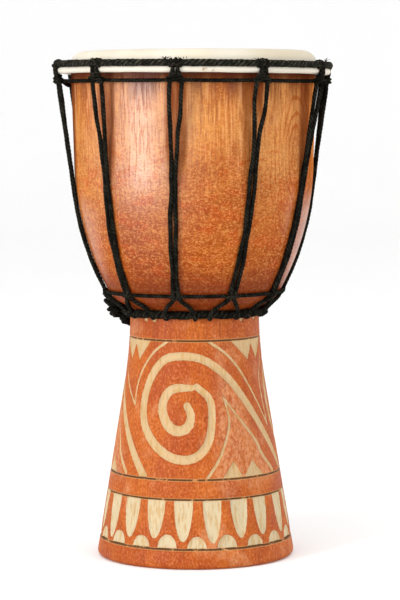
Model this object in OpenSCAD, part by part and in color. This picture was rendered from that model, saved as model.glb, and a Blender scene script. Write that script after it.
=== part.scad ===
// Rope-tuned goblet drum: a hollow turned shell, a goatskin head held by steel hoops,
// and one long rope laced between the crown hoop and a hoop at the waist.
// Millimetres, +Z up, origin at the middle of the foot's resting face. The front is -Y.

/* [Shell] */
// Height from the floor to the playing surface
drum_h = 400; // [390:1:410]
// Outside diameter of the bowl at the rim
rim_d = 193.6; // [192:0.2:195]
// Outside diameter of the bowl where the wall starts to curve in
belly_d = 189.6; // [188:0.2:191]
// Height at which the wall starts to curve in
belly_z = 315; // [312:1:318]
// Radius of the bowl's long curve, seen from the side
belly_curve_r = 216; // [214:1:218]
// Radius of the tighter curve under the bowl
chine_r = 20; // [18:1:22]
// Outside diameter of the waist
waist_d = 102.4; // [101:0.2:103]
// Height of the waist's corner, under the bowl
waist_z = 197.5; // [197:0.5:198]
// Radius of the foot's concave flare
flare_r = 360; // [340:10:400]
// Slope of the foot's side from the vertical, in degrees
flare_angle = 9.4; // [9:0.1:10]
// Thickness of the bowl's wall
wall = 12; // [10:0.5:13]
// Diameter of the throat between bowl and foot
throat_d = 72; // [66:1:74]

/* [Head] */
// Thickness of the goatskin
skin_t = 0.8; // [0.6:0.1:1]
// Radius of the shell's rounded rim
rim_edge_r = 8.2; // [7:0.1:9]
// Radius of the flesh hoop's rod
flesh_rod_r = 2.2; // [2:0.1:2.4]
// Radius of the circle on which the flesh hoop's rod lies
flesh_hoop_r = 106; // [105.5:0.1:107]
// Height of the flesh hoop
flesh_hoop_z = 383.7; // [383:0.1:384]

/* [Hoops] */
// Radius of the steel rod in both outer hoops
rod_r = 2; // [1.8:0.1:2.2]
// Radius of the crown hoop with its wrap
crown_wrap_r = 2.8; // [2.6:0.1:2.9]
// Radius of the circle on which the crown hoop lies
crown_hoop_r = 107.4; // [107:0.1:108]
// Height of the crown hoop
crown_hoop_z = 389.4; // [389.3:0.1:389.6]
// Radius of the bottom hoop with its wrap
bottom_wrap_r = 3.1; // [2.8:0.1:3.1]
// Radius of the circle on which the bottom hoop lies
bottom_hoop_r = 54.4; // [54.3:0.1:54.8]
// Height of the bottom hoop
bottom_hoop_z = 195.1; // [194.5:0.1:195.2]

/* [Rope] */
// Diameter of the rope and of the two tie cords
rope_d = 3.2; // [3:0.1:3.2]
// Pairs of strands round the drum
pairs = 10; // [10:1:10]
// Direction of the first pair, in degrees from the front
first_pair = -7; // [-20:1:20]
// How far round a pair drifts between the crown and the waist, in degrees
drift = -4.5; // [-6:0.5:6]
// How far a strand's foot splays to either side of its pair at the waist, in degrees
splay = 12; // [10:0.5:13]

/* [Hidden] */
lacing_names = [for (k = [1:pairs]) str("lacing_pair_", k < 10 ? "0" : "", k)];

sides = 8;
fine = 120;
rope_r = rope_d / 2;
rim_r = rim_d / 2;
belly_r = belly_d / 2;
waist_r = waist_d / 2;
throat_r = throat_d / 2;

// The shell's outline
foot_edge_r = 4;
foot_wall = 16;
chine_a = 29;
underside_a = 60;
inner_belly_a = 30;
throat_top_z = 203;
throat_low_z = 168;
crest_w = 2;
bevel = 3;
shell_top = drum_h - skin_t;
belly_c = [belly_r - belly_curve_r, belly_z];
chine_c = belly_c + (belly_curve_r - chine_r) * [cos(chine_a), -sin(chine_a)];
flare_c = [waist_r + flare_r, waist_z];
cone_top = flare_c - flare_r * [cos(flare_angle), sin(flare_angle)];
foot_r = cone_top.x + cone_top.y * tan(flare_angle);
foot_edge_c = [foot_r - foot_edge_r * (1 / cos(flare_angle) + tan(flare_angle)), foot_edge_r];
rim_edge_c = [rim_r - rim_edge_r, shell_top - rim_edge_r];

// The skin's collar and roll
collar_r = 3.4;
roll_wrap_a = 260;
roll_c = [flesh_hoop_r, flesh_hoop_z];
roll_mid_r = flesh_rod_r + skin_t / 2;
roll_r = flesh_rod_r + skin_t;
skin_mid_r = rim_edge_r + skin_t / 2;
collar_c = [rim_edge_c.x + skin_mid_r + collar_r, roll_c.y - roll_mid_r + collar_r];

// The lacing
tie_z = 376.3;
tie_r = 107.6;
touch_a = 8.5;
lower_tie_a = 28.6;
crown_c = [crown_hoop_r, crown_hoop_z];
bottom_c = [bottom_hoop_r, bottom_hoop_z];
pair_half = rope_r + 0.1;
open_half = 4.8;
hitch_half = 3.4;

// The spare rope's bundle: the arc that it covers, in degrees from the front, and the distance from
// the axis, the height and the half thickness of its two layers
spare_from = -94;
spare_to = -152;
spare_layers = [[64.6, 194.6, 6.9], [57.6, 185.6, 5.2]];

// ---- Functions ----

// Points along an arc in the plane
function arc(c, r, from, to, n) =
    [for (i = [0:n]) let (a = from + (to - from) * i / n) c + r * [cos(a), sin(a)]];

// A point given by its direction from the front, its distance from the axis and its height
function around(az, r, z) = [r * sin(az), -r * cos(az), z];

// The same, moved sideways round the drum by a length
function beside(az, side, p) = around(az + side / p.x * 180 / PI, p.x, p.y);

// A point a given distance outside the bowl's long curve
function on_belly(a, out) = belly_c + (belly_curve_r + out) * [cos(a), -sin(a)];

// A point a given distance outside the tighter curve under the bowl
function on_chine(a, out) = chine_c + (chine_r + out) * [cos(a), -sin(a)];

function unit(v) = v / norm(v);

function mix(a, b, t) = a + (b - a) * t;

// The direction of a path at one of its points
function heading(path, i, closed) = let (n = len(path))
    closed ? unit(path[(i + 1) % n] - path[(i + n - 1) % n])
           : unit(path[min(i + 1, n - 1)] - path[max(i - 1, 0)]);

// The corners of a rope's section at one point of its path
function section(p, t, up, r) = let (u = unit(up - (up * t) * t), v = cross(t, u))
    [for (k = [0:sides - 1]) let (a = 360 * k / sides) p + r * (cos(a) * u + sin(a) * v)];

// ---- Building blocks ----

// A plane strip of even thickness along a path
module strip(path, t) {
    n = len(path) - 1;
    normals = [for (i = [0:n]) let (d = heading(path, i, false)) [-d.y, d.x]];
    polygon(concat(
        [for (i = [0:n]) path[i] + normals[i] * t / 2],
        [for (i = [n:-1:0]) path[i] - normals[i] * t / 2]));
}

// A rope swept along a path; each point has its own radius and a direction that its section keeps to
module rope(path, ups, radii, closed = false) {
    n = len(path);
    last = closed ? n - 1 : n - 2;
    points = [for (i = [0:n - 1]) each section(path[i], heading(path, i, closed), ups[i], radii[i])];
    skin = [for (i = [0:last]) for (k = [0:sides - 1])
        let (a = i * sides, b = (i + 1) % n * sides, j = (k + 1) % sides)
        each [[a + k, b + k, b + j], [a + k, b + j, a + j]]];
    ends = closed ? [] : [
        [for (k = [0:sides - 1]) k],
        [for (k = [sides - 1:-1:0]) (n - 1) * sides + k]];
    polyhedron(points, concat(skin, ends), convexity = 10);
}

// A ring of round section
module ring(c, r) {
    rotate_extrude($fn = fine) translate(c) circle(r, $fn = 48);
}

// A hollow ring of round section
module ring_sleeve(c, r, core_r) {
    rotate_extrude($fn = fine) translate(c) difference() {
        circle(r, $fn = 48);
        circle(core_r, $fn = 48);
    }
}

// A closed loop of thin cord round the drum
module cord_ring(path) {
    rope(path, [for (p = path) [0, 0, 1]], [for (p = path) rope_r], closed = true);
}

// ---- Sub-parts ----

// Turned hardwood, hollow from the rim to the foot
module shell() {
    outside = concat(
        arc(foot_edge_c, foot_edge_r, -90, flare_angle, 6),
        arc(flare_c, flare_r, 180 + flare_angle, 180, 6),
        arc(chine_c, chine_r, -underside_a, -chine_a, 5),
        arc(belly_c, belly_curve_r, -chine_a, 0, 14),
        arc(rim_edge_c, rim_edge_r, 0, 90, 8));
    inside = concat(
        [[rim_edge_c.x - crest_w, shell_top], [rim_r - wall, shell_top - bevel]],
        arc(belly_c, belly_curve_r - wall, 0, -inner_belly_a, 12),
        [[throat_r, throat_top_z], [throat_r, throat_low_z], [foot_r - foot_wall, 0]]);
    color("sienna") rotate_extrude($fn = fine) polygon(concat(outside, inside));
}

// Goatskin, over the rim, out under the flesh hoop and rolled round it
module drumhead() {
    path = concat(
        [[0, drum_h - skin_t / 2]],
        arc(rim_edge_c, skin_mid_r, 90, 0, 8),
        arc(collar_c, collar_r, 180, 270, 6),
        arc(roll_c, roll_mid_r, 270, 270 + roll_wrap_a, 20));
    color("oldlace") rotate_extrude($fn = fine) strip(path, skin_t);
}

// Steel rod inside the skin's roll
module flesh_hoop() {
    color("silver") ring(roll_c, flesh_rod_r);
}

// Steel rod that pulls the roll down
module crown_hoop() {
    color("silver") ring(crown_c, rod_r);
}

// Cord wound round the crown hoop
module crown_hoop_wrap() {
    color("dimgray") ring_sleeve(crown_c, crown_wrap_r, rod_r);
}

// Steel rod that the lacing pulls up against the underside of the bowl
module bottom_hoop() {
    color("silver") ring(bottom_c, rod_r);
}

// Cord wound round the bottom hoop
module bottom_hoop_wrap() {
    color("dimgray") ring_sleeve(bottom_c, bottom_wrap_r, rod_r);
}

// Thin cord just below the roll, straight from pair to pair on the inner side of the strands
module upper_tie_cord() {
    knot_r = tie_r - rope_d - 0.1;
    per_pair = 4;
    corners = [for (k = [0:pairs]) around(first_pair + 360 / pairs * k, knot_r, tie_z)];
    path = [for (k = [0:pairs - 1]) for (i = [0:per_pair - 1]) mix(corners[k], corners[k + 1], i / per_pair)];
    color("black") cord_ring(path);
}

// Thin cord under the bowl, against the wood between the pairs and over each pair's strands
module lower_tie_cord() {
    on_wood = rope_r + 0.1;
    over_pair = on_wood + rope_d;
    hop = [[-6.4, on_wood], [-3.6, over_pair - 0.4], [0, over_pair], [3.6, over_pair - 0.4], [6.4, on_wood]];
    gap = [0.35, 0.5, 0.65];
    path = [for (k = [0:pairs - 1]) let (az = first_pair + drift + 360 / pairs * k) each concat(
        [for (h = hop) beside(az, h[0], on_belly(lower_tie_a, h[1]))],
        [for (g = gap) beside(az + 360 / pairs * g, 0, on_belly(lower_tie_a, on_wood))])];
    color("black") cord_ring(path);
}

// One strand: up from the bottom hoop, over the crown hoop and down behind it
function strand(az, side) = let (
    hitch_r = crown_wrap_r + rope_r + 0.1,
    hoop_r = bottom_wrap_r + rope_r + 0.1,
    low = az + drift,
    tie = [tie_r, tie_z],
    touch = on_belly(touch_a, rope_r),
    hitch = [for (a = [205, 150, 95, 45, 0]) beside(az, side * hitch_half, crown_c + hitch_r * [cos(a), sin(a)])],
    roll = [beside(az, side * pair_half, roll_c + (roll_r + rope_r + 0.1) * [cos(5), sin(-5)])],
    fall = [for (f = [[0, 0.8], [0.1, 1], [0.35, 0.85], [0.6, 0.4]])
        beside(mix(az, low, f[0] * 0.5), side * mix(pair_half, open_half, f[1]), mix(tie, touch, f[0]))],
    belly = [for (i = [0:7]) beside(mix(mix(az, low, 0.5), low, i / 7), side * pair_half,
        on_belly(mix(touch_a, chine_a, i / 7), rope_r + 0.1))],
    chine = [for (f = [[42, 0.3], [54, 0.65]])
        beside(low, side * mix(pair_half, splay * PI / 180 * bottom_hoop_r, f[1]), on_chine(f[0], rope_r + 0.1))],
    hoop = [for (a = [25, -20, -60, -95])
        beside(low + side * splay, 0, bottom_c + hoop_r * [cos(a), sin(a)])])
    concat(hitch, roll, fall, belly, chine, hoop);

// Two strands of the lacing, side by side from the crown to the waist
module lacing_pair(k) {
    az = first_pair + 360 / pairs * (k - 1);
    color("black") for (side = [-1, 1]) {
        path = strand(az, side);
        rope(path, [for (p = path) [-p.y, p.x, 0]], [for (p = path) rope_r]);
    }
}

// The lacing's tail, bundled against the waist
module spare_rope() {
    steps = 12;
    color("black") for (s = spare_layers) {
        along = [for (i = [0:steps]) i / steps];
        path = [for (t = along) around(mix(spare_from, spare_to, t), s[0], s[1])];
        radii = [for (t = along) s[2] * sqrt(1.05 - pow(2 * t - 1, 8))];
        rope(path, [for (p = path) [0, 0, 1]], radii);
    }
}

// ---- Output ----

shell();
drumhead();
flesh_hoop();
crown_hoop();
crown_hoop_wrap();
bottom_hoop();
bottom_hoop_wrap();
upper_tie_cord();
lower_tie_cord();
spare_rope();
for (k = [1:pairs])
    lacing_pair(k);
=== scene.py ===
"""A rope-tuned goblet drum: carved hardwood shell, goatskin head, steel hoops and one long rope.

The frame gives the places and the largest sizes. Lengths here are millimetres until a mesh is made.
Azimuths are degrees from the front, which is -Y, towards +X.
"""
import math

import bpy
import numpy as np
from mathutils import Matrix, Vector


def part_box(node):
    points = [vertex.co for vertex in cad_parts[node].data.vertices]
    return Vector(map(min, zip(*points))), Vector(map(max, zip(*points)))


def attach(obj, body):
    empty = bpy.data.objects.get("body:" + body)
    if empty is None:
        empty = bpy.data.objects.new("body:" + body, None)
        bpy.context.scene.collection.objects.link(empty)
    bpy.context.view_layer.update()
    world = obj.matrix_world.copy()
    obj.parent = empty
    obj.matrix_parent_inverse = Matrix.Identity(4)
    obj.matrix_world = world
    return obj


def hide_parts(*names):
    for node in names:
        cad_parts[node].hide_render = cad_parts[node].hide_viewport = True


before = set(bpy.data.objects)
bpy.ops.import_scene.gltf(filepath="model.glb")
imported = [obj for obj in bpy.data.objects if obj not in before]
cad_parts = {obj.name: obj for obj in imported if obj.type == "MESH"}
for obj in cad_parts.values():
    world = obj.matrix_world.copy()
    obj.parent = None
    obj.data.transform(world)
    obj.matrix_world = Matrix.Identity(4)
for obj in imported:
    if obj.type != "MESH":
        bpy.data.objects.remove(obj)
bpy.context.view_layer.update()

MM = 0.001
SEED = 7

# ---- Sizes from the frame ----


def high(node):
    """A CAD node's highest corner."""
    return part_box(node)[1] / MM


def hoop(node):
    """A ring's radius, height and section radius."""
    low, top = (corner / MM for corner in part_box(node))
    section_r = (top.z - low.z) / 2
    return top.x - section_r, low.z + section_r, section_r


def off(centre, r, a):
    """A point at a distance and an angle from a centre in the outline's plane."""
    a = math.radians(a)
    return np.array([centre[0] + r * math.cos(a), centre[1] + r * math.sin(a)])


rim_r = high("shell").x
shell_top = high("shell").z
head_z = high("drumhead").z
skin_t = head_z - shell_top
flesh_r, flesh_z, flesh_rod_r = hoop("flesh_hoop")
crown_r, crown_z, crown_wrap_r = hoop("crown_hoop_wrap")
crown_rod_r = 2.0
bottom_r, bottom_z, bottom_wrap_r = hoop("bottom_hoop_wrap")

# ---- The shell's outline: the CAD's, but for a rounder edge at the rim ----
belly_r = 94.8
belly_z = 315
belly_curve_r = 216
chine_r = 20
chine_a = 29
underside_a = 60
waist_r = 51.2
waist_z = 197.5
flare_r = 360
flare_a = 9.4
foot_edge_r = 4
foot_wall = 16
wall = 12
throat_r = 36
throat_top_z = 203
throat_low_z = 168
rim_edge_r = 10.5
collar_r = 3.4
belly_c = np.array([belly_r - belly_curve_r, belly_z])
chine_c = off(belly_c, belly_curve_r - chine_r, -chine_a)
flare_c = np.array([waist_r + flare_r, waist_z])
flare_rad = math.radians(flare_a)
cone_top = off(flare_c, -flare_r, flare_a)
foot_r = cone_top[0] + cone_top[1] * math.tan(flare_rad)
foot_edge_c = (foot_r - foot_edge_r * (1 / math.cos(flare_rad) + math.tan(flare_rad)), foot_edge_r)
rim_edge_c = (rim_r - rim_edge_r, shell_top - rim_edge_r)

# ---- The carving: heights of the turned grooves, and its strokes as (azimuth, height) points ----
groove_a_z = 174.9
groove_1_z = 68.4
groove_2_z = 53.3
groove_3_z = 15.5
grooves = (groove_3_z, groove_2_z, groove_1_z, groove_a_z)
panels = 3
carve_depth = 1.5
carve_slope = 2.8
groove_depth = 0.8
groove_half = 0.4
narrow = (1.15, 0.9)
hook = [(-6, 125), (-3, 118), (-5, 109), (-12.5, 105.5), (-20.5, 110), (-25.5, 121), (-24, 131.5),
        (-17, 138), (-2.5, 138.8)]
hook_halves = (2.9, 3.3, 3.9, 4.0, 3.9, 3.7, 3.6, 3.4, 2.5)
wave = [(1.5, 139.6), (11, 131), (13, 119), (10.5, 99.5), (3, 87.5), (-7.5, 83.5), (-20, 87), (-33, 98),
        (-41.5, 111.5), (-43.5, 127.5), (-39, 145), (-28, 159), (-14, 163), (4, 161.5), (19, 153.5),
        (33, 140.5), (48.5, 119.5), (64, 97), (83, 70)]
wave_halves = (2.7, 3.1, 3.4, 3.6, 3.6, 3.5, 3.3, 3.1, 3.1, 3.2, 3.3, 3.4)
arch_left = [(-24, 174.5), (-38, 165), (-49, 151.5), (-54, 138)]
arch_right = [(12, 174.5), (30, 162.5), (45.5, 144.5)]
arch_tips = [((-54, 123.5), (69, 106)), ((-51, 106), (64, 115)), ((-56, 115), (66, 123.5))]
branch_left = [(23, 131), (26.5, 115.5), (24.5, 103), (17, 84), (8.5, 70)]
branch_right = [(24, 129.5), (33, 117), (49.5, 95.5), (54, 85), (65.5, 71)]
teeth = [[(32.5, 174.5), (51.5, 158.5), (60, 174.5)], [(56, 174.5), (65, 158.5), (79, 174.5)],
         [(27.5, 82), (18.5, 69), (34, 69)], [(43, 81.5), (34.5, 69), (53, 69)]]
washed = [(18, 178), (14, 66), (64, 66)]
frieze_n = 20
tongue_az = -7.4
tongue_half = 7.6
tongue_len = 31.5
dome_half = 8
dome_len = 10.5
dimples = [-48, -38, 46, 66, 118, 131, 175, -152, -104]
dimple_z = 190.4

# ---- The lacing: the CAD's routes, with the thickness and the unevenness of the real rope ----
# bows are the pairs' sideways bows. A spare layer: distance from the axis, height, half thickness.
rope_r = 1.6
pairs = 10
first_pair = -7
drift = -4.5
splay = 12
tie_z = 376.2
tie_fall = 0.6
loose_span = 7
crown_fall = 0.95
crown_drop = 0.35
flesh_fall = 0.9
flesh_lift = 0.6
flesh_rod_less = 0.5
tie_r = 107.6
touch_a = 8.5
lower_tie_a = 28.6
strand_r = 1.14 * rope_r
pair_half = strand_r + 0.05
bows = (-0.4, 0.6, -3.5, -0.5, 0.9, 0.3, -0.7, 0.5, 0.4, 2.0)
open_half = 4.8
hitch_half = 3.5
hug_crown = crown_wrap_r - 0.3
hug_bottom = bottom_wrap_r - 0.2
spare_from = -94
spare_to = -152
spare_layers = [[64.1, 194.8, 6.5], [56.8, 186.6, 4.7]]
spare_r = 1.08 * rope_r
rope_lay = 9.5


# ---- Curves ----

def arc(centre, r, start, end, n):
    """Points along an arc in the plane."""
    a = np.radians(np.linspace(start, end, n + 1))
    return np.stack([centre[0] + r * np.cos(a), centre[1] + r * np.sin(a)], 1)


def line(a, b, n):
    """Points along a straight line."""
    return np.linspace(a, b, n + 1)


def around(az, r, z):
    """Points given by their azimuths, distances from the axis and heights."""
    a = np.radians(az)
    return np.stack(np.broadcast_arrays(r * np.sin(a), -r * np.cos(a), z), -1)


def beside(az, side, p):
    """A point of the outline at an azimuth, moved sideways round the drum by a length."""
    return around(az + math.degrees(side / p[0]), p[0], p[1])


def on_belly(a, out):
    """A point of the outline at a distance outside the bowl's long curve."""
    return off(belly_c, belly_curve_r + out, -a)


def on_chine(a, out):
    """A point of the outline at a distance outside the tighter curve under the bowl."""
    return off(chine_c, chine_r + out, -a)


def mix(a, b, t):
    return a + (b - a) * t


def pair_at(k):
    """The direction of a pair of strands at the crown."""
    return first_pair + 360 / pairs * k


def unit(vectors):
    """The same directions with a length of 1."""
    return vectors / np.linalg.norm(vectors, axis=1)[:, None]


def run_along(points):
    """The length of a line up to each of its points."""
    return np.concatenate([[0], np.cumsum(np.linalg.norm(np.diff(points, axis=0), axis=1))])


def even(points, step, closed=False):
    """The same line with points an even step apart."""
    points = np.asarray(points, float)
    if closed:
        points = np.concatenate([points, points[:1]])
    at = run_along(points)
    n = max(3, round(at[-1] / step))
    where = np.linspace(0, at[-1], n + 1)[:n if closed else None]
    return np.stack([np.interp(where, at, points[:, k]) for k in range(points.shape[1])], 1)


def smooth(points, step, closed=False):
    """A smooth curve through points, with points of its own an even step apart."""
    p = np.asarray(points, float)
    if closed:
        p = np.concatenate([p[-1:], p, p[:2]])
    else:
        p = np.concatenate([2 * p[:1] - p[1:2], p, 2 * p[-1:] - p[-2:-1]])
    t = np.linspace(0, 1, 17)[:-1, None]
    spans = [0.5 * (2 * b + (c - a) * t + (2 * a - 5 * b + 4 * c - d) * t ** 2
                    + (3 * b - a - 3 * c + d) * t ** 3) for a, b, c, d in zip(p, p[1:], p[2:], p[3:])]
    if not closed:
        spans.append(p[-2:-1])
    return even(np.concatenate(spans), step, closed)


def ripple(az, waves):
    """A periodic unevenness round the drum: (times round, height, phase) for each wave."""
    return sum(h * np.sin(np.radians(n * az) + phase) for n, h, phase in waves)


def lean(az, fall):
    """A hoop's height where it hangs lower on the right by a fall, against its mean height."""
    return -fall * np.sin(np.radians(az))


def crown_at(az):
    """The middle of the crown hoop's section; the ropes pull the real hoop a little uneven."""
    return crown_r, crown_z - crown_drop + lean(az, crown_fall)


def flesh_at(az):
    """The middle of the flesh hoop's section, inside the skin's roll."""
    return flesh_r, flesh_z + flesh_lift + lean(az, flesh_fall)


# ---- Meshes ----

class Build:
    """Points and faces gathered for one mesh. kinds are the faces' material numbers."""

    def __init__(self):
        self.points = []
        self.faces = []
        self.kinds = []
        self.raised = []
        self.count = 0

    def add(self, points, faces):
        self.points.append(np.asarray(points, float).reshape(-1, 3))
        self.faces += [tuple(int(i) + self.count for i in face) for face in faces]
        self.count += len(self.points[-1])

    def ring(self, points):
        """Points without faces. The number of the first comes back."""
        self.add(points, [])
        return self.count - len(points)


def place(name, data):
    """A new object in the scene."""
    obj = bpy.data.objects.new(name, data)
    bpy.context.scene.collection.objects.link(obj)
    return obj


def give(mesh, name, values):
    """A value at each point of a mesh, for its materials to read."""
    mesh.attributes.new(name, "FLOAT", "POINT").data.foreach_set("value", values.astype(np.float32))


def piece(name, build, materials, nodes):
    """An object of the drum that stands for CAD nodes and rides on the one body."""
    mesh = bpy.data.meshes.new(name)
    mesh.from_pydata((np.concatenate(build.points) * MM).tolist(), [], build.faces)
    for material in materials:
        mesh.materials.append(material)
    if build.kinds:
        mesh.polygons.foreach_set("material_index", build.kinds)
    mesh.shade_smooth()
    mesh.update()
    if build.raised:
        give(mesh, "raised", np.concatenate(build.raised))
    obj = place(name, mesh)
    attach(obj, "root")
    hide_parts(*nodes)
    return obj


def bridge(a, na, b, nb):
    """Faces between closed rings that start at points a and b; one may have twice the other's points."""
    if na == nb:
        return [(a + i, a + (i + 1) % na, b + (i + 1) % nb, b + i) for i in range(na)]
    if na < nb:
        return [face[::-1] for face in bridge(b, nb, a, na)]
    faces = []
    for i in range(nb):
        fine = a + 2 * i, a + 2 * i + 1, a + (2 * i + 2) % na
        coarse = b + i, b + (i + 1) % nb
        faces += [(fine[0], fine[1], coarse[0]), (fine[1], coarse[1], coarse[0]),
                  (fine[1], fine[2], coarse[1])]
    return faces


def frames(path, up, closed):
    """The two directions across a path at each of its points."""
    heading = np.roll(path, -1, 0) - np.roll(path, 1, 0) if closed else np.gradient(path, axis=0)
    heading = unit(heading)
    across = unit(np.cross(heading, np.broadcast_to(up, path.shape)))
    return across, np.cross(across, heading)


def cord(build, path, up, pattern, lay, closed=False, radii=1.0, turn=0.0):
    """A laid cord along a path: its section has a radius for each column, and turns once in each lay."""
    across, over = frames(path, up, closed)
    n = len(path)
    sides = len(pattern)
    gaps = np.linalg.norm(np.roll(path, -1, 0) - path, axis=1)
    length = gaps.sum() if closed else gaps[:-1].sum()
    run = np.concatenate([[0], np.cumsum(gaps)[:-1]])
    if closed:
        lay = length / max(1, round(length / lay))
    a = 2 * math.pi * (run[:, None] / lay + np.arange(sides) / sides + turn)
    radii = np.broadcast_to(radii, n).copy()
    if not closed:
        ends = np.clip(np.minimum(run, length - run) / max(pattern), 0.08, 1)
        radii *= np.sqrt(ends * (2 - ends))
    r = radii[:, None] * np.asarray(pattern)
    points = path[:, None] + r[..., None] * (np.cos(a)[..., None] * across[:, None]
                                             + np.sin(a)[..., None] * over[:, None])
    faces = []
    for i in range(n if closed else n - 1):
        low, top = i * sides, (i + 1) % n * sides
        faces += [(low + k, top + k, top + (k + 1) % sides, low + (k + 1) % sides) for k in range(sides)]
    if not closed:
        faces.append(tuple(range(sides)))
        faces.append(tuple((n - 1) * sides + k for k in reversed(range(sides))))
    build.add(points.reshape(-1, 3), faces)
    span = max(max(pattern) - min(pattern), 0.01)
    build.raised.append(np.tile((np.asarray(pattern) - min(pattern)) / span, n))


def loop(build, points, r, lay, step=0.9, up=(0, 0, 1), turn=0.0):
    """A closed loop of laid cord through points."""
    cord(build, smooth(points, step, closed=True), up, laid(r), lay, closed=True, turn=turn)


def laid(r, strands=3, dip=0.16, columns=4):
    """The section of a laid cord: round strands with a dip between them."""
    k = np.arange(strands * columns)
    return r * (1 - dip * (1 - np.abs(np.cos(math.pi * k / columns))))


def wound(r, turns=3, step=0.12, columns=6):
    """The section of a hoop wound with flat cord: each turn lies on the edge of the last."""
    k = np.arange(turns * columns)
    return r * (1 - step * (k % columns) / columns)


# ---- Carving ----

class Surface:
    """The foot's outside, unrolled: an azimuth, a height and a scale at each of its points."""

    def __init__(self, az, z, r):
        self.az = az
        self.z = z
        self.scale = np.radians(1) * r

    def towards(self, p):
        """How far a point lies to the side of and above each surface point."""
        return ((p[0] - self.az + 180) % 360 - 180) * self.scale, p[1] - self.z

    def stroke(self, points, half):
        """How deep each surface point lies inside a stroke with half widths spread evenly along it."""
        inside = np.full(self.az.shape, -99.0)
        halves = np.interp(np.linspace(0, 1, len(points) - 1), np.linspace(0, 1, len(half)), half)
        for a, b, w in zip(points, points[1:], halves):
            x, y = self.towards(a)
            dx = (b[0] - a[0]) * self.scale
            dy = b[1] - a[1]
            t = np.clip(-(x * dx + y * dy) / (dx * dx + dy * dy), 0, 1)
            inside = np.maximum(inside, w - np.hypot(x + t * dx, y + t * dy))
        return inside

    def triangle(self, corners):
        """How deep each surface point lies inside a triangle."""
        inside = np.full(self.az.shape, 99.0)
        for k in range(3):
            a, b, c = (corners[(k + i) % 3] for i in range(3))
            x, y = self.towards(a)
            dx, dy = (b[0] - a[0]) * self.scale, b[1] - a[1]
            cx, cy = (c[0] - a[0]) * self.scale, c[1] - a[1]
            side = np.sign(dx * cy - dy * cx)
            inside = np.minimum(inside, side * (x * dy - y * dx) / np.hypot(dx, dy))
        return inside

    def oval(self, centre, half_w, half_h):
        """How deep each surface point lies inside an oval."""
        x, y = self.towards(centre)
        at = np.hypot(x / half_w, y / half_h)
        slope = np.hypot(x / half_w ** 2, y / half_h ** 2)
        return np.clip((1 - at) * at / np.maximum(slope, 1e-6), -99, 3)


def rotate(points, turn):
    """The same points, moved round the drum."""
    return [(p[0] + turn, p[1]) for p in points]


def carving(surface):
    """How deep each point of the foot lies inside a carved stroke."""
    deep = np.full(surface.az.shape, -99.0)
    random = np.random.default_rng(SEED)

    def cut(inside):
        np.maximum(deep, inside, out=deep)

    for k in range(panels):
        turn = 360 / panels * k
        tip_left, tip_right = arch_tips[k]
        strokes = ((hook, 4, hook_halves), (wave, 4, wave_halves), (arch_left + [tip_left], 5, narrow),
                   (arch_right + [tip_right], 5, narrow), (branch_left, 5, (0.8, 1.3)),
                   (branch_right, 5, (0.8, 1.7)))
        for points, step, halves in strokes:
            cut(surface.stroke(smooth(rotate(points, turn), step), halves))
        for corners in teeth:
            cut(surface.triangle(rotate(corners, turn)))
    panel = (surface.z > groove_1_z) & (surface.z < groove_a_z)
    deep[~panel] = -99
    pitch = 360 / frieze_n
    tongues = (0, groove_2_z, tongue_half, tongue_len, 1.3, surface.z > groove_2_z)
    domes = (0.5, groove_3_z, dome_half, dome_len, 0.9, surface.z < groove_3_z)
    for k in range(frieze_n):
        for shift, z, half, length, uneven, outside in (tongues, domes):
            jog, longer, wider = random.normal(0, [0.7, uneven, 0.35])
            oval = surface.oval((tongue_az + pitch * (k + shift) + jog, z), half + wider, length + longer)
            oval[outside] = -99
            cut(oval)
    for az in dimples:
        cut(surface.oval((az, dimple_z), 2.1, 1.4))
    return deep


# ---- Shell ----

foot_columns = 400
foot_step = 0.95
hewn = 0.35


def foot_radius(z):
    """The foot's outside radius at a height, above its rounded edge."""
    flare = flare_c[0] - np.sqrt(flare_r ** 2 - (waist_z - np.minimum(z, waist_z)) ** 2)
    cone = cone_top[0] + (cone_top[1] - z) * math.tan(flare_rad)
    return np.where(z > cone_top[1], flare, cone)


def foot_heights():
    """The heights of the foot's rows: close together where it is carved, and on every groove."""
    edge_top = foot_edge_c[1] + foot_edge_r * math.sin(flare_rad)
    zones = [(edge_top, groove_3_z, 3.2), (groove_3_z, groove_2_z, foot_step),
             (groove_2_z, groove_1_z, 3.2), (groove_1_z, groove_a_z, foot_step),
             (groove_a_z, waist_z, 1.3)]
    rows = []
    for low, top, step in zones:
        n = round((top - low) / step)
        rows += [z for z in np.linspace(low, top, n + 1) if all(abs(z - g) > 0.7 for g in grooves)]
    for g in grooves:
        rows += [g - 0.55, g - 0.25, g, g + 0.25, g + 0.55]
    return np.unique(np.round(rows, 3))


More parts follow.
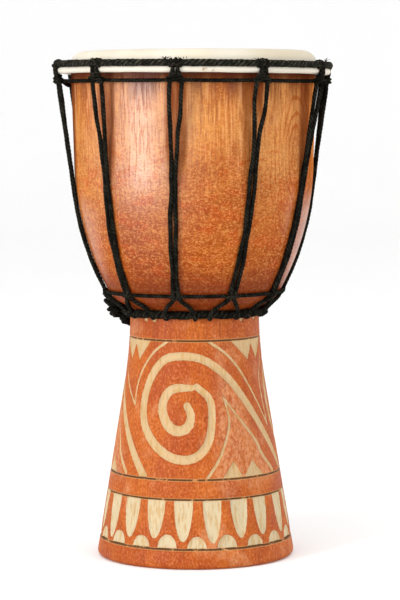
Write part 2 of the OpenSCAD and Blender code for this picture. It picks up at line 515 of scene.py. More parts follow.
def make_shell(materials):
    build = Build()
    z = foot_heights()
    az = np.arange(foot_columns) * 360 / foot_columns
    az_grid, z_grid = np.meshgrid(az, z)
    r = foot_radius(z_grid)
    deep = carving(Surface(az_grid, z_grid, r))
    step = np.clip((deep + 0.3) / carve_slope, 0, 1)
    r = r - carve_depth * step * (2 - step)
    for g in grooves:
        r = r - groove_depth * np.exp(-((z_grid - g) / groove_half) ** 2)
    r = r + ripple(az_grid, [(2, 0.12, 0.4), (3, 0.1, 2.0), (5, 0.05, 1.0)])
    inner_foot_r = foot_r - foot_wall
    bands = [
        (line((inner_foot_r, 0), (foot_edge_c[0] - 1, 0), 2), 100, 2),
        (arc(foot_edge_c, foot_edge_r, -88, -70, 1), 200, 0),
        (arc(foot_edge_c, foot_edge_r, -60, flare_a - 8, 6), foot_columns, 0),
        None,
        (arc(chine_c, chine_r, -underside_a, -chine_a - 4, 5), 200, 1),
        (arc(belly_c, belly_curve_r, -chine_a, -1, 30), 200, 1),
        (line((belly_r, belly_z), (rim_r, rim_edge_c[1]), 20), 200, 1),
        (arc(rim_edge_c, rim_edge_r, 12, 90, 6), 200, 1),
        (np.array([[rim_edge_c[0] - 2, shell_top], [rim_r - wall, shell_top - 3]]), 100, 2),
        (arc(belly_c, belly_curve_r - wall, 0, -30, 20), 100, 2),
        (line((throat_r, throat_top_z), (throat_r, throat_low_z), 8), 100, 2),
        (line((throat_r + 1, throat_low_z - 4), (inner_foot_r, 1.5), 26), 100, 2)]
    rings = []
    random = np.random.default_rng(SEED)
    for band in bands:
        if band is None:
            rings += [(build.ring(around(az, r[i], z[i])), foot_columns, 0) for i in range(len(z))]
            continue
        outline, n, kind = band
        ring_az = np.arange(n) * 360 / n
        for ring_r, ring_z in outline:
            rough = hewn * random.standard_normal(n) if kind == 2 and 4 < ring_z < 380 else 0
            rings.append((build.ring(around(ring_az, ring_r + rough, ring_z)), n, kind))
    last = rings[-1:] + rings[:-1]
    for (a, na, kind_a), (b, nb, kind_b) in zip(last, rings):
        faces = bridge(a, na, b, nb)
        build.faces += faces
        build.kinds += [max(kind_a, kind_b)] * len(faces)
    shell = piece("carved_shell", build, materials, ["shell"])
    start = rings[len(rings) - sum(len(b[0]) for b in bands[4:]) - len(z)][0]
    for name, inside in (("carved", deep), ("washed", washed_area(az_grid, z_grid))):
        values = np.full(build.count, -9.0)
        values[start:start + inside.size] = np.clip(inside, -9, 9).ravel()
        give(shell.data, name, values)


def washed_area(az, z):
    """How deep each point lies inside the areas whose stain was rubbed thin."""
    surface = Surface(az, z, foot_radius(z))
    return np.maximum.reduce([surface.triangle(rotate(washed, 360 / panels * k)) for k in range(panels)])


# ---- Head ----

def make_drumhead(material):
    """Goatskin over the rim, out under the flesh hoop and rolled round it. middle is its section."""
    columns = 240
    az = np.arange(columns) * 360 / columns
    mid_r = rim_edge_r + skin_t / 2
    roll_mid = flesh_rod_r + skin_t / 2 - flesh_rod_less
    collar_c = (rim_edge_c[0] + mid_r + collar_r, flesh_z - roll_mid + collar_r)
    top = shell_top + skin_t / 2
    collar_from = 31
    middle = np.concatenate([
        line((2, top), (rim_edge_c[0] - 6, top), 16),
        arc(rim_edge_c, mid_r, 90, 0, 14),
        line((rim_edge_c[0] + mid_r, rim_edge_c[1] - 1.5),
             (collar_c[0] - collar_r, collar_c[1] + 0.6), 2),
        arc(collar_c, collar_r, 185, 265, 6),
        arc((flesh_r, flesh_z), roll_mid, 270, 530, 28)])
    heading = unit(np.gradient(middle, axis=0))
    normal = np.stack([-heading[:, 1], heading[:, 0]], 1)
    run = run_along(middle)
    edge = np.clip((run - 88) / 12, 0, 1)[:, None]
    roll = np.clip((run - 112) / 4, 0, 1)[:, None]
    carried = np.clip((run - run[collar_from]) / 8, 0, 1)[:, None]
    lift = carried * (flesh_at(az)[1] - flesh_z)
    pull = 0.5 - 0.5 * np.cos(np.radians(pairs * (az - first_pair)))
    swell = edge * (0.18 * pull + ripple(az, [(7, 0.12, 0.3), (13, 0.08, 1.1), (29, 0.05, 2.0)]))
    swell = swell + roll * ripple(az, [(17, 0.1, 0.7), (41, 0.08, 1.9), (67, 0.05, 0.2)])
    build = Build()
    rings = []
    for out in (1, -1):
        for i in range(len(middle))[::-out]:
            shift = swell[i] * 0.7 + out * skin_t / 2
            rings.append(build.ring(around(az, middle[i, 0] + normal[i, 0] * shift,
                                           middle[i, 1] + normal[i, 1] * shift + lift[i])))
    inner = len(middle) - 1
    for i, (a, b) in enumerate(zip(rings, rings[1:] + rings[:1])):
        if i != inner:
            build.faces += bridge(a, columns, b, columns)
    build.faces.append(tuple(rings[inner] + i for i in range(columns)))
    build.faces.append(tuple(rings[inner + 1] + i for i in reversed(range(columns))))
    head = piece("goatskin_head", build, [material], ["drumhead"])


# ---- Hoops ----

def make_crown_cord(material):
    build = Build()
    az = np.arange(1080) / 3
    r, z = crown_at(az)
    uneven = 1 + ripple(az, [(23, 0.03, 0.3), (57, 0.03, 1.2), (91, 0.02, 2.1)])
    cord(build, around(az, r, z), (0, 0, 1), wound(crown_wrap_r, 4, 0.15), 17, closed=True, radii=uneven)
    for at, count, reach in ((-10.5, 7, 3.4), (-4, 4, 2.4), (73, 5, 3.6), (27, 3, 2), (-46, 3, 2)):
        centre_r, centre_z = crown_at(at)
        fray(build, at, centre_r, centre_z + crown_wrap_r, count, reach)
    piece("crown_hoop_cord", build, [material], ["crown_hoop_wrap"])


def fray(build, az, r, z, count, reach):
    """A few loose fibres that stand up from a worn place."""
    random = np.random.default_rng(round(az + 360))
    for _ in range(count):
        lean_az, lean_r, rise = random.normal(0, 0.5), random.normal(0, 0.35), random.uniform(0.5, 1)
        t = np.linspace(0, 1, 9)[:, None]
        start = beside(az, random.normal(0, 1.6), (r, z))
        way = reach * (around(np.array([az + 90]), lean_az, rise) + around(np.array([az]), lean_r, 0))
        path = start + t * way + (t * t) * np.array([0.8 * lean_az, 0, -0.3]) * reach * 0.5
        cord(build, path, (0, 1, 0), [0.3] * 4, 50, radii=np.linspace(1, 0.35, 9))


def make_rod(name, node, centre, rod_r, material):
    """A hoop's steel rod, with the bead where its ends are welded."""
    build = Build()
    az = np.arange(360)
    weld = 1 + 0.1 * np.exp(-((az - 200) / 1.2) ** 2)
    cord(build, around(az, *centre(az)), (0, 0, 1), [rod_r] * 16, 1000, closed=True, radii=weld)
    piece(name, build, [material], [node])


def make_bottom_cord(material):
    """Cord wound round the bottom hoop, and a second, slack cord that spirals over it."""
    build = Build()
    az = np.arange(720) / 2
    r = bottom_r + ripple(az, [(3, 0.15, 0.2)])
    z = bottom_z + ripple(az, [(2, 0.25, 1.0), (7, 0.2, 0.4)])
    uneven = 1 + ripple(az, [(20, 0.05, 0.3), (33, 0.05, 1.2), (51, 0.03, 2.1)])
    cord(build, around(az, r, z), (0, 0, 1), wound(bottom_wrap_r * 1.04), 12, closed=True, radii=uneven)
    turn = np.radians(9 * az + 40 * np.sin(np.radians(3 * az)))
    over = bottom_wrap_r - 1.0
    spiral = around(az, r + over * np.cos(turn), z + over * np.sin(turn))
    loop(build, spiral, rope_r, 9)
    piece("bottom_hoop_cord", build, [material], ["bottom_hoop_wrap"])


# ---- Lacing ----

def strand(az, side, bow):
    """One strand's route: up from the bottom hoop, over the crown hoop and down behind it."""
    low = az + drift
    middle = mix(az, low, 0.5)
    tie = np.array([tie_r, tie_z + lean(az, tie_fall)])
    touch = on_belly(touch_a, strand_r)
    roll_out = flesh_rod_r + skin_t + rope_r - 0.6
    points = [beside(az, side * hitch_half, off(crown_at(az), hug_crown, a))
              for a in (250, 205, 150, 95, 45, 5, -25)]
    points.append(beside(az, side * pair_half, off(flesh_at(az), roll_out, -5)))
    for down, wide in ((0, 0.8), (0.1, 1), (0.28, 0.75), (0.45, 0.15), (0.7, 0)):
        bowed = bow * math.sin(math.pi * down / 2)
        points.append(beside(mix(az, low, down * 0.5), side * mix(pair_half, open_half, wide) + bowed,
                             mix(tie, touch, down)))
    for i in range(8):
        a = mix(touch_a, chine_a, i / 7)
        bowed = bow * math.cos(math.pi * i / 14)
        points.append(beside(mix(middle, low, i / 7), side * pair_half + bowed, on_belly(a, pair_half)))
    foot_half = math.radians(splay) * bottom_r
    for a, wide in ((42, 0.3), (54, 0.65)):
        points.append(beside(low, side * mix(pair_half, foot_half, wide), on_chine(a, pair_half)))
    for a in (25, -20, -60, -100, -140):
        points.append(beside(low + side * splay, 0, off((bottom_r, bottom_z), hug_bottom, a)))
    return points


def make_lacing_pair(k, material):
    """Two strands, with the turn and the bight that lock them to the crown hoop."""
    az = pair_at(k)
    build = Build()
    crown_c = crown_at(az)
    for side in (-1, 1):
        path = smooth(strand(az, side, bows[k]), 0.9)
        tangent = unit(np.stack([-path[:, 1], path[:, 0], 0 * path[:, 0]], 1))
        run = 0.9 * np.arange(len(path)) + 31 * k + 17 * side
        free = np.clip((tie_z - path[:, 2]) / 15, 0, 1)
        sway = free * (0.35 * np.sin(run / 11) + 0.2 * np.sin(run / 4.7))
        path += sway[:, None] * tangent
        squeezed = np.clip((path[:, 2] - crown_c[1] + 6) / 4, 0, 1)
        uneven = 1 - 0.27 * squeezed + 0.05 * np.sin(run / 5.3) + 0.03 * np.sin(run / 2.1)
        cord(build, path, tangent, laid(strand_r), rope_lay, turn=0.13 * k + 0.3 * side, radii=uneven)
    turn = [beside(az, 0.3, off(crown_c, hug_crown, a)) for a in range(0, 360, 30)]
    loop(build, turn, rope_r, 9, 0.8, around(az + 90, 1, 0))
    bight = [beside(az, side, off(crown_c, hug_crown + out, a)) for side, out, a in (
        (-3.8, 0, -95), (-3.9, 0.6, -50), (-2.2, 1.3, -22), (0, 1.6, -16),
        (2.2, 1.3, -22), (3.9, 0.6, -50), (3.8, 0, -95))]
    cord(build, smooth(bight, 0.8), (0, 0, 1), laid(1.45), 9)
    name = f"{k + 1:02d}"
    piece("lacing_rope_" + name, build, [material], ["lacing_pair_" + name])


def ring_round(az, centre, side, half_w, half_d, tilt):
    """A closed loop round a strand, to one side of an azimuth: its half widths and its tilt."""
    turn = np.linspace(0, 2 * math.pi, 20, endpoint=False)
    side = side + half_w * np.cos(turn)
    r = centre[0] + half_d * np.sin(turn)
    z = centre[1] + tilt * np.sin(turn + 0.6)
    return around(az + np.degrees(side / centre[0]), r, z)


def make_upper_tie(material):
    """Thin cord just below the roll, with two turns round each strand and three round each pair."""
    build = Build()
    inner_r = tie_r - 2 * rope_r - 0.1
    knot_r = tie_r + 0.2
    corners = [around(az, inner_r, tie_z + lean(az, tie_fall)) for az in pair_at(np.arange(pairs))]
    slack = np.sin(np.linspace(0, math.pi, 7))[:-1]
    path = []
    for k in range(pairs):
        span = line(corners[k], corners[(k + 1) % pairs], 6)[:-1]
        span[:, 2] -= slack * (3.2 if k == loose_span else 0.3)
        path.append(span)
    loop(build, np.concatenate(path), rope_r, 8)
    strand_side = mix(pair_half, open_half, 0.8)
    for k in range(pairs):
        az = pair_at(k)
        knot_z = tie_z + lean(az, tie_fall)
        for side, lift, tilt in ((-1, 1.6, 0.6), (-1, -0.7, 0.4), (1, 1.1, -0.6), (1, -1.2, -0.3)):
            knot = ring_round(az, (knot_r, knot_z + lift), side * strand_side, 2.1, 2.7, tilt)
            loop(build, knot, 1.05, 7, 0.8)
        for lift, half in ((0.2, strand_side - 0.3), (2.4, 3.9), (4.4, 3.1)):
            loop(build, ring_round(az, (knot_r, knot_z + lift), 0, half, 2.2, 0.6), 1.2, 7, 0.8)
    piece("upper_tie_loop", build, [material], ["upper_tie_cord"])


def make_lower_tie(material):
    """Thin cord round the underside of the bowl, over each pair's strands."""
    build = Build()
    on_wood = rope_r + 0.1
    over = on_wood + 2 * rope_r - 1.5
    hop = [(-6.4, on_wood), (-3.6, over - 0.5), (0, over), (3.6, over - 0.5), (6.4, on_wood)]
    path = []
    for k in range(pairs):
        az = pair_at(k) + drift
        path += [beside(az, side, on_belly(lower_tie_a, out)) for side, out in hop]
        path += [beside(pair_at(k + gap) + drift, 0, on_belly(lower_tie_a, on_wood))
                 for gap in (0.35, 0.5, 0.65)]
    loop(build, path, rope_r, 8)
    for k in range(pairs):
        az = pair_at(k) + drift
        for slant in (-1, 1):
            turn = [beside(az, side, on_belly(lower_tie_a + slant * rise, out)) for side, rise, out in (
                (-3.7, -0.9, 0.9), (-2.2, -0.6, 3.0), (0, 0, 3.6), (2.2, 0.6, 3.0), (3.7, 0.9, 0.9))]
            cord(build, smooth(turn, 0.8), (0, 0, 1), laid(1.1), 7)
    piece("lower_tie_loop", build, [material], ["lower_tie_cord"])


def hank_loop(middle, r, z, reach, half, slant):
    """One long turn of a hank, and which way is out of its plane; the turn's ends are half circles."""
    ends = np.radians(np.linspace(-90, 90, 9))
    along = reach - half + half * np.cos(ends)
    along = np.concatenate([along, -along])
    width = half * np.concatenate([np.sin(ends), np.sin(-ends)])
    a = math.radians(slant)
    az = middle + np.degrees(along / r)
    path = around(az, r + width * math.cos(a), z + width * math.sin(a))
    up = around(az, -math.sin(a), math.cos(a))
    return even(np.concatenate([path, up], 1), 0.9, closed=True)


def make_spare_rope(material):
    """The lacing's tail, wound into two hanks against the waist and bound with its own end."""
    build = Build()
    middle = (spare_from + spare_to) / 2
    turns = (((4.8, 0), (4.8, 45), (4.8, 90), (4.8, 135), (1.9, 20), (1.9, 110)),
             ((3.0, 10), (3.0, 70), (3.0, 130)))
    for (r, z, thick), rounds, more in zip(spare_layers, turns, (3, -4)):
        half_arc = math.radians(abs(spare_to - spare_from) / 2 + more) * r
        for i, (half, slant) in enumerate(rounds):
            route, out = np.split(hank_loop(middle, r, z, half_arc - 1.7 * i, half, slant), [3], 1)
            run = 0.9 * np.arange(len(route))
            wander = 0.5 * np.sin(run / 9 + 2 * i)[:, None] * out
            path = smooth((route + wander)[::3], 0.9, closed=True)
            at, known = np.linspace(0, 1, len(path)), np.linspace(0, 1, len(out))
            up = np.stack([np.interp(at, known, part) for part in out.T], 1)
            cord(build, path, up, laid(spare_r), rope_lay, closed=True, turn=0.2 * i)
        for bound in (-0.62, -0.5, 0.1, 0.22, 0.34):
            az = middle + math.degrees(bound * half_arc / r)
            ring = [around(az + 2 * math.sin(math.radians(a)), *off((r, z), thick + 0.6, a))
                    for a in range(0, 360, 24)]
            loop(build, ring, rope_r, rope_lay, up=around(az + 90, 1, 0))
    for low, top, out in ((62, 34, 2.0), (57, 30, 3.1), (60, 41, 5.8)):
        there = [(az, low) for az in range(spare_from + 2, spare_to, -6)]
        back = [(az, top) for az in range(spare_to + 4, spare_from + 4, 6)]
        loop(build, [beside(az, 0, on_chine(a, rope_r + out)) for az, a in there + back], spare_r,
             rope_lay)
    piece("spare_rope_hank", build, [material], ["spare_rope"])


# ---- Materials ----

ring_gap = 0.0044


def paint(r, g, b):
    """A colour given as a screen shows it, for a shader."""
    def linear(c):
        c = c / 255
        return c / 12.92 if c <= 0.04045 else ((c + 0.055) / 1.055) ** 2.4
    return (linear(r), linear(g), linear(b), 1)


class Shader:
    """A material's nodes, added one at a time. A socket given as an input is linked, a value is set."""

    def __init__(self, name):
        self.material = bpy.data.materials.new(name)
        self.material.use_nodes = True
        self.tree = self.material.node_tree
        self.surface = self.tree.nodes["Principled BSDF"]
        self.place = self.add("ShaderNodeTexCoord").outputs["Object"]

    def add(self, kind, inputs=None, **settings):
        node = self.tree.nodes.new(kind)
        for key, value in settings.items():
            setattr(node, key, value)
        for key, value in (inputs or {}).items():
            self.put(node, key, value)
        return node

    def put(self, node, key, value):
        if isinstance(value, bpy.types.NodeSocket):
            self.tree.links.new(value, node.inputs[key])
        else:
            node.inputs[key].default_value = value

    def set(self, **inputs):
        for key, value in inputs.items():
            self.put(self.surface, key.replace("_", " "), value)

    def calc(self, operation, a, b=0.0, c=0.0):
        return self.add("ShaderNodeMath", {0: a, 1: b, 2: c}, operation=operation).outputs[0]

    def times(self, a, b):
        return self.calc("MULTIPLY", a, b)

    def scaled(self, value, by, plus):
        return self.calc("MULTIPLY_ADD", value, by, plus)

    def between(self, value, low, top, out_low=0.0, out_top=1.0):
        """The value's way from low to top, eased."""
        node = self.add("ShaderNodeMapRange", {
            "Value": value, "From Min": low, "From Max": top, "To Min": out_low, "To Max": out_top},
            interpolation_type="SMOOTHSTEP")
        return node.outputs["Result"]

    def blend(self, factor, a, b):
        return self.add("ShaderNodeMix", {0: factor, 6: a, 7: b}, data_type="RGBA").outputs[2]

    def coats(self, colour, *layers):
        """A colour under coats of paint, each with a mask, a strength and its own colour."""
        for mask, strength, rgb in layers:
            colour = self.blend(self.times(mask, strength), colour, paint(*rgb))
        return colour

    def ramp(self, value, low, top, a, b):
        """One paint where a value is low, and another where it is high."""
        return self.blend(self.between(value, low, top), paint(*a), paint(*b))

    def stretch(self, scale, turn=(0, 0, 0), shift=(0, 0, 0)):
        node = self.add("ShaderNodeMapping", {
            "Vector": self.place, "Scale": scale, "Rotation": turn, "Location": shift})
        return node.outputs["Vector"]

    def noise(self, scale, along=1, detail=4.0, rough=0.55, twist=0.0):
        """Noise between 0 and 1, with scale features to the metre and fewer along the grain."""
        along = along if isinstance(along, tuple) else (1, 1, along)
        node = self.add("ShaderNodeTexNoise", {
            "Vector": self.stretch(along), "Scale": scale, "Detail": detail, "Roughness": rough,
            "Distortion": twist})
        return node.outputs["Fac"]

    def patches(self, scale, low, top, out_low=0.0, out_top=1.0, **how):
        """Noise, eased from low to top."""
        return self.between(self.noise(scale, **how), low, top, out_low, out_top)

    def attribute(self, name):
        return self.add("ShaderNodeAttribute", attribute_name=name).outputs["Fac"]

    def axis(self, name):
        """One coordinate of a place: X, Y or Z, in metres."""
        return self.add("ShaderNodeSeparateXYZ", {"Vector": self.place}).outputs[name]

    def from_pair(self):
        """How far, in degrees, a place is from the nearest pair of strands."""
        az = self.calc("ARCTAN2", self.axis("X"), self.times(self.axis("Y"), -1.0))
        start = (first_pair + 0.2 * drift) * pairs / 360
        turns = self.scaled(az, pairs / (2 * math.pi), -start)
        return self.times(self.calc("PINGPONG", turns, 0.5), 360 / pairs)

    def away(self, at, tall):
        """How far a place is from another, in metres, where heights count less by a factor."""
        inputs = {0: self.stretch((1, 1, 1 / tall)), 1: (at[0], at[1], at[2] / tall)}
        return self.add("ShaderNodeVectorMath", inputs, operation="DISTANCE").outputs["Value"]

    def spot(self, at, size, tall=1):
        """1 at a place and 0 beyond a size from it, both in metres; tall stretches it upwards."""
        return self.between(self.away(at, tall), size, size * 0.5)

    def rings_round(self, at, size, tall, warp):
        """Closed growth rings about a place, as a slanting cut through the log shows them."""
        away = self.scaled(warp, 0.02, self.away(at, tall))
        wave = self.calc("SINE", self.times(away, 2 * math.pi / ring_gap))
        return self.times(self.between(wave, 0.2, 0.95), self.spot(at, size, tall))

    def bump(self, height, depth, strength=1.0, under=None):
        """A bump whose height of 1 stands for a depth in metres."""
        node = self.add("ShaderNodeBump", {"Height": height, "Distance": depth, "Strength": strength})
        if under:
            self.put(node, "Normal", under)
        return node.outputs["Normal"]


def wood_grain(s):
    """The grain that runs right through the log: soft streaks and pores."""
    streaks = s.noise(240, along=0.035, rough=0.6)
    return streaks, s.noise(620, along=0.08, detail=2, rough=0.5)


def growth_rings(s):
    """The growth rings round the log's middle, which leans a little to the drum's axis."""
    warp = s.noise(14, along=0.4, detail=2)
    lean_x, lean_y = math.radians(2.5), math.radians(-1.5)
    shifted = s.stretch((1, 1, 1), turn=(lean_x, lean_y, 0), shift=(0.006, 0.010, 0))
    node = s.add("ShaderNodeTexWave", {
        "Vector": shifted, "Scale": 84.0, "Distortion": 2.5, "Detail": 2.0, "Detail Scale": 0.5,
        "Detail Roughness": 0.6, "Phase Offset": s.times(warp, 9.0)},
        wave_type="RINGS", rings_direction="Z")
    return node.outputs["Fac"]


def varnished_wood():
    """The bowl: reddish hardwood under a clear coat, with dark streaks where the varnish ran down,
    painted shade that darkens it towards the bottom and under the tie and the roll, and painted sheen on
    its upper wall.
    """
    s = Shader("varnished_wood")
    streaks, pores = wood_grain(s)
    rings = growth_rings(s)
    height = s.axis("Z")
    across = s.axis("X")
    broad = s.noise(18, along=0.7)
    # Painted shade: the lower paints are darker, so the bowl darkens towards its downward-facing
    # underside.
    upper = s.ramp(broad, 0.35, 0.65, (163, 89, 31), (187, 124, 60))
    lower = s.ramp(broad, 0.35, 0.65, (129, 53, 8), (160, 79, 15))
    wall_top = s.between(height, 0.29, 0.35)
    colour = s.blend(s.between(height, 0.225, 0.35), lower, upper)
    # Painted highlights: two pale spots on the upper wall stand for the varnish's sheen.
    for az, rise, strength, pale in ((-26, 28, 0.34, (226, 184, 152)), (47, 32, 0.3, (212, 164, 108))):
        painted_sheen = s.spot(around(az, belly_r, belly_z + rise) * MM, 0.05, tall=1.6)
        colour = s.coats(colour, (painted_sheen, strength, pale))
    figure = s.noise(70, along=(0.55, 0.55, 1.5), detail=3, rough=0.6, twist=1.2)
    figured = s.times(s.between(figure, 0.5, 0.62), s.between(wall_top, 1.0, 0.3, 0.15, 0.5))
    flecks = s.noise(700, along=(0.7, 0.7, 1.1), detail=2, rough=0.6, twist=0.8)
    vertical = s.scaled(wall_top, 0.3, 0.08)
    pore = s.between(pores, 0.53, 0.64)
    colour = s.coats(
        colour,
        (s.between(rings, 0.35, 1.0), 0.14, (192, 118, 50)),
        (s.between(rings, 0.3, 0.0), 0.14, (126, 50, 10)),
        (figured, 1.0, (168, 66, 14)),
        (s.between(flecks, 0.5, 0.58), s.scaled(wall_top, -0.34, 0.54), (124, 44, 6)),
        (s.between(flecks, 0.47, 0.39), 0.42, (206, 140, 76)),
        (pore, vertical, (126, 54, 20)),
        (s.between(pores, 0.46, 0.36), vertical, (212, 154, 100)))
    broken = s.patches(55, 0.36, 0.58, 0.0, 0.6, along=0.5, detail=3)
    for az, tall in ((56, 2.4), (-152, 2.0)):
        at = around(az, belly_r, belly_z + 3) * MM
        colour = s.coats(colour, (s.rings_round(at, 0.045, tall, broad), broken, (146, 60, 16)))
    drips = s.times(s.between(streaks, 0.5, 0.62), s.between(height, 0.335, 0.38))
    # Painted shade: a patchy dark band just below the upper tie, where the tie casts its shadow.
    painted_tie_shade = s.times(s.patches(30, 0.38, 0.58, along=0.2, detail=3), s.between(height, 0.354, 0.375))
    # Painted shadow: the wood beside each pair of strands is darker, and its coat thinner.
    painted_rope_shadow = s.times(s.between(s.from_pair(), 6.4, 3.6), s.between(height, 0.285, 0.325))
    painted_rope_shadow = s.times(painted_rope_shadow, s.patches(45, 0.3, 0.5, along=0.3))
    colour = s.coats(
        colour,
        (drips, 0.7, (96, 36, 14)),
        (painted_tie_shade, 0.8, (92, 36, 18)),
        (painted_rope_shadow, 0.7, (112, 46, 16)),
        # Painted shade: darker still low on the bowl's underside.
        (s.between(height, 0.24, 0.212), 0.72, (96, 34, 12)),
        # Painted shade, with some dirt: dark wood between the upper tie and the skin's roll.
        (s.between(height, (tie_z - 4) * MM, (flesh_z - 3) * MM), 0.85, (84, 36, 22)))
    bumps = s.bump(s.times(pore, -1.0), 0.00016)
    bumps = s.bump(streaks, 0.0003, 0.5, under=bumps)
    polished = s.spot(around(-26, belly_r, belly_z + 20) * MM, 0.07, tall=1.8)
    dull = s.times(s.between(across, 0.03, 0.08), s.between(height, 0.28, 0.31, 0.0, 0.95))
    shine = s.times(s.scaled(polished, 0.7, 0.2), s.between(painted_rope_shadow, 0.2, 0.8, 1.0, 0.1))
    shine = s.times(shine, s.calc("SUBTRACT", 1.0, dull))
    handled = s.times(s.between(s.calc("ABSOLUTE", across), 0.06, 0.08), s.between(height, 0.3, 0.27))
    shine = s.calc("MAXIMUM", shine, handled)
    s.set(Base_Color=colour, Roughness=s.between(streaks, 0.3, 0.7, 0.36, 0.52), Specular_IOR_Level=0.0,
          Normal=bumps, Coat_Normal=bumps, Coat_Roughness=0.27, Coat_IOR=1.5,
          Coat_Weight=s.times(shine, s.between(height, 0.379, 0.37, 0.15, 1.0)))
    return s.material


def carved_wood():
    """The foot: matt orange stain, cut away to pale wood where it is carved, with painted shade along the
    cuts' edges.
    """
    s = Shader("stained_and_carved_wood")
    streaks, pores = wood_grain(s)
    height = s.axis("Z")
    ragged = s.scaled(s.noise(500, detail=2), 0.9, -0.45)
    deep = s.calc("ADD", s.attribute("carved"), ragged)
    bare = s.between(deep, -0.12, 0.16)
    broad = s.noise(34, along=0.7, detail=5, rough=0.65)
    speck = s.noise(720, along=0.7, detail=3, rough=0.65)
    rubbed = s.calc("ADD", s.attribute("washed"), s.scaled(broad, 16.0, -8.0))
    thin = s.times(s.patches(38, 0.56, 0.7, along=0.8, detail=2), 0.75)
    worn = s.calc("MAXIMUM", s.between(rubbed, -5.0, 6.0), thin)
    mottled = s.scaled(s.patches(380, 0.36, 0.64, along=0.7, rough=0.7), 0.9, 0.1)
    top_band = s.between(height, (groove_a_z - 2) * MM, (groove_a_z + 4) * MM)
    grain = s.patches(700, 0.5, 0.66, along=0.04, detail=2)
    stain = s.coats(
        s.ramp(broad, 0.34, 0.66, (151, 64, 14), (171, 87, 25)),
        (s.between(speck, 0.5, 0.64), 0.28, (214, 138, 90)),
        (s.between(speck, 0.48, 0.36), 0.5, (132, 48, 14)),
        (s.times(worn, mottled), 0.55, (204, 150, 108)),
        (s.between(streaks, 0.55, 0.72), 0.3, (136, 54, 24)),
        (s.times(grain, top_band), 0.5, (128, 58, 26)))
    pale = s.coats(
        s.ramp(height, (groove_1_z + 6) * MM, (groove_2_z - 4) * MM, (184, 156, 116), (188, 171, 138)),
        (s.between(streaks, 0.5, 0.7), 0.25, (188, 148, 94)),
        (s.patches(480, 0.5, 0.62, along=0.08, detail=3), 0.5, (172, 130, 66)))
    # Painted shade: a thin dark band along the edge of each cut.
    edge = s.between(s.calc("ABSOLUTE", deep), 0.34, 0.1)
    colour = s.coats(s.blend(bare, stain, pale), (edge, 0.4, (150, 84, 40)))
    broken = s.patches(130, 0.34, 0.46, along=0.2, detail=3, rough=0.7)
    for g in grooves:
        gap = s.calc("ABSOLUTE", s.calc("SUBTRACT", height, g * MM))
        dark = s.times(s.between(gap, 0.0011, 0.0005), broken)
        colour = s.coats(colour, (s.between(gap, 0.0015, 0.0009), 0.6, (196, 148, 92)),
                         (dark, 0.9, (74, 44, 20)))
    pore = s.between(pores, 0.6, 0.7)
    colour = s.coats(colour, (pore, s.between(bare, 0.0, 1.0, 0.35, 0.1), (112, 50, 24)))
    under = s.bump(s.times(pore, -1.0), 0.0002)
    s.set(Base_Color=colour, Roughness=s.between(broad, 0.3, 0.7, 0.52, 0.68), Specular_IOR_Level=0.16,
          Normal=s.bump(speck, 0.0003, 0.6, under=under))
    return s.material


def raw_wood():
    """The inside and the foot's resting face: hewn, bare and dusty."""
    s = Shader("raw_wood")
    streaks, pores = wood_grain(s)
    colour = s.coats(
        s.ramp(streaks, 0.3, 0.7, (206, 158, 108), (172, 118, 72)),
        (s.between(growth_rings(s), 0.5, 1), 0.4, (222, 182, 132)),
        (s.between(pores, 0.58, 0.68), 0.6, (110, 68, 38)))
    s.set(Base_Color=colour, Roughness=0.85, Specular_IOR_Level=0.2, Normal=s.bump(streaks, 0.0006, 0.7))
    return s.material


def goatskin():
    """Scraped skin: fine fibres, hair roots, a darker spine and a few stains on the roll."""
    s = Shader("goatskin")
    broad = s.noise(22)
    fibres = s.noise(420, along=(1, 0.25, 1), rough=0.7)
    roots = s.add("ShaderNodeTexVoronoi", {"Vector": s.place, "Scale": 900.0}).outputs["Distance"]
    ridge = s.scaled(broad, 0.02, s.calc("ABSOLUTE", s.axis("X")))
    tanned = s.spot(around(66, rim_edge_c[0] + 4, head_z) * MM, 0.075)
    rolled = s.between(s.axis("Z"), (shell_top - 4) * MM, (shell_top - 9) * MM)
    colour = s.coats(
        s.ramp(broad, 0.35, 0.7, (213, 206, 192), (206, 195, 172)),
        (s.between(fibres, 0.5, 0.75), 0.3, (226, 210, 178)),
        (s.times(s.between(roots, 0.22, 0.12), s.patches(60, 0.5, 0.7)), 0.3, (196, 168, 128)),
        (s.between(ridge, 0.03, 0.008), 0.25, (228, 206, 166)),
        (tanned, 0.55, (188, 172, 138)),
        (rolled, 0.8, (193, 186, 172)))
    for az, dz, size in ((4.5, 0.6, 0.0026), (8, -0.8, 0.0014), (31, -0.4, 0.0018), (-42, 0.2, 0.0013)):
        at = around(az, flesh_r + flesh_rod_r, flesh_z + dz) * MM
        stain = s.times(s.spot(at, size), s.patches(700, 0.35, 0.6, detail=2))
        colour = s.coats(colour, (stain, 0.85, (136, 104, 60)))
    s.set(Base_Color=colour, Roughness=s.between(fibres, 0.3, 0.7, 0.48, 0.62),
          Normal=s.bump(fibres, 0.0003, 0.5), Subsurface_Weight=0.08, Subsurface_Scale=0.5,
          Subsurface_Radius=(0.004, 0.003, 0.002), Specular_IOR_Level=0.4, Sheen_Weight=0.05)
    return s.material


def black_rope(name, base, light, worn):
    """Soft black cord: fibres along it, dust and painted highlights on the high places, and a dull sheen.
    """
    s = Shader(name)
    fibres = s.noise(600, rough=0.7)
    dust_and_highlight = s.patches(190, 0.4, 0.62, rough=0.75)
    # Light grey on the cord's high places is partly dust and partly painted highlight.
    rubbed = s.times(s.between(s.attribute("raised"), 0.4, 1.0), dust_and_highlight)
    colour = s.coats(s.ramp(fibres, 0.35, 0.75, base, light), (rubbed, worn, (104, 98, 84)))
    s.set(Base_Color=colour, Roughness=0.9, Specular_IOR_Level=0.04, Normal=s.bump(fibres, 0.0004, 0.8))
    return s.material


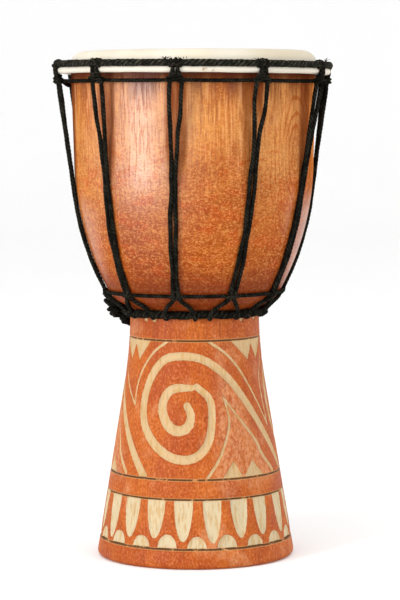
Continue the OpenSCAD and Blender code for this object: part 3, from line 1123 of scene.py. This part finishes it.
def steel():
    """Drawn rod with specks of rust."""
    s = Shader("steel_rod")
    streak = s.noise(600, along=3, detail=3)
    spots = s.noise(300, rough=0.7)
    colour = s.coats(s.ramp(streak, 0.3, 0.7, (170, 172, 174), (202, 204, 206)),
                     (s.between(spots, 0.6, 0.72), 0.6, (120, 74, 44)))
    s.set(Base_Color=colour, Roughness=s.between(spots, 0.4, 0.75, 0.28, 0.6), Metallic=1.0,
          Normal=s.bump(streak, 0.0001, 0.4))
    return s.material


# ---- Studio ----
camera_at = (0.0044, -1.9117, 0.3525)
camera_lens = 144.5
camera_down = 0.0781
camera_roll = 0.0045

def make_camera():
    """The camera stands nearly two metres off, a little above the drum's middle and just off its axis."""
    data = bpy.data.cameras.new("camera")
    data.sensor_fit = "VERTICAL"
    data.sensor_height = 36
    data.lens = camera_lens
    camera = place("camera", data)
    aim = Matrix.Rotation(math.pi / 2 - camera_down, 4, "X") @ Matrix.Rotation(-camera_roll, 4, "Z")
    camera.matrix_world = Matrix.Translation(camera_at) @ aim
    bpy.context.scene.camera = camera


def make_light(name, az, distance, height, size, power):
    """A soft panel that faces the drum."""
    data = bpy.data.lights.new(name, "AREA")
    data.shape = "RECTANGLE"
    data.size, data.size_y = size
    data.energy = power
    light = place(name, data)
    light.location = around(az, distance, height)
    aim = Vector((0, 0, 0.25)) - light.location
    light.rotation_mode = "QUATERNION"
    light.rotation_quaternion = aim.to_track_quat("-Z", "Y")


def make_floor():
    """A round pale floor that sweeps up into a wall well behind every camera."""
    outline = np.concatenate([line((0, 0), (5, 0), 12), arc((5, 1.5), 1.5, -85, 0, 10),
                              line((6.5, 2), (6.5, 3.5), 2)])
    n = 96
    az = np.arange(n) * 360 / n
    build = Build()
    rings = [build.ring(around(az, r, z)) for r, z in outline]
    for a, b in zip(rings, rings[1:]):
        build.faces += bridge(b, n, a, n)
    mesh = bpy.data.meshes.new("floor")
    mesh.from_pydata(np.concatenate(build.points).tolist(), [], build.faces)
    mesh.shade_smooth()
    s = Shader("studio_paper")
    tone = s.blend(s.noise(3, detail=2), (0.96, 0.96, 0.96, 1), (0.98, 0.98, 0.98, 1))
    s.set(Base_Color=tone, Roughness=0.9, Specular_IOR_Level=0.1)
    mesh.materials.append(s.material)
    place("floor", mesh)


def make_world():
    """Even white light from all round."""
    world = bpy.data.worlds.new("studio")
    world.use_nodes = True
    sky = world.node_tree.nodes["Background"].inputs
    sky["Color"].default_value = (1, 1, 1, 1)
    sky["Strength"].default_value = 1.0
    bpy.context.scene.world = world
    bpy.context.scene.view_settings.view_transform = "Standard"


make_camera()
make_world()
make_floor()
make_light("key_panel", -44, 1.9, 0.8, (0.5, 0.6), 14)
make_light("low_panel", -50, 1.9, 0.17, (0.8, 0.3), 10)
make_light("fill_panel", 42, 2.0, 0.6, (0.7, 1.2), 11)
make_light("top_panel", -20, 1.0, 2.2, (1.4, 1.4), 8)
make_light("right_edge_panel", 116, 1.8, 0.35, (0.4, 1.0), 5)

# The last number is the strength of the dust and painted highlight on the cords' high places.
rope_black = black_rope("black_rope", (6, 6, 4), (22, 20, 15), 0.2)
hoop_black = black_rope("black_hoop_cord", (9, 9, 6), (36, 35, 28), 0.5)
steel_rod = steel()
make_shell([carved_wood(), varnished_wood(), raw_wood()])
make_drumhead(goatskin())
make_crown_cord(hoop_black)
make_rod("crown_hoop_rod", "crown_hoop", crown_at, crown_rod_r, steel_rod)
make_rod("flesh_hoop_rod", "flesh_hoop", flesh_at, flesh_rod_r - flesh_rod_less, steel_rod)
make_bottom_cord(rope_black)
for k in range(pairs):
    make_lacing_pair(k, rope_black)
make_upper_tie(rope_black)
make_lower_tie(rope_black)
make_spare_rope(rope_black)
bottom_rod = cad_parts["bottom_hoop"].data
bottom_rod.materials.clear()
bottom_rod.materials.append(steel_rod)
